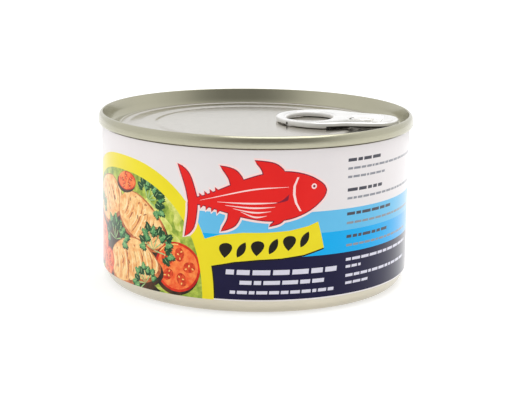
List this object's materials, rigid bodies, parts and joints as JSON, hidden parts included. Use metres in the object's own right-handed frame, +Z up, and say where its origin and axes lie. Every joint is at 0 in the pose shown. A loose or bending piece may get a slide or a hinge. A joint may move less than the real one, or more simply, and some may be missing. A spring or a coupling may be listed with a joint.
{
  "type": "tuna can",
  "caption": "Short round metal food can with rounded bottom corner, printed paper label band and an easy-open lid with a flat pull tab.",
  "frame": {"origin": "centre of the bounding box at the level the can stands on, which is on the can's axis", "axes": "+Z up along the can's axis, +X the way the pull tab's nose points, +Y to the back, where the label's lap is; the picture shows the -Y side"},
  "size_m": [0.0874, 0.0874, 0.0465],
  "materials": {
    "body_metal": "champagne lacquered steel, satin",
    "lid_metal": "champagne lacquered steel, satin, paler and glossier on the panel",
    "label_paper": "coated glossy paper printed in white, blue, navy, yellow and red",
    "tab_aluminium": "bright polished"
  },
  "bodies": {
    "root": {"can_body": "body_metal", "lid": "lid_metal", "label": "label_paper", "pull_tab": "tab_aluminium"}
  },
  "joints": []
}
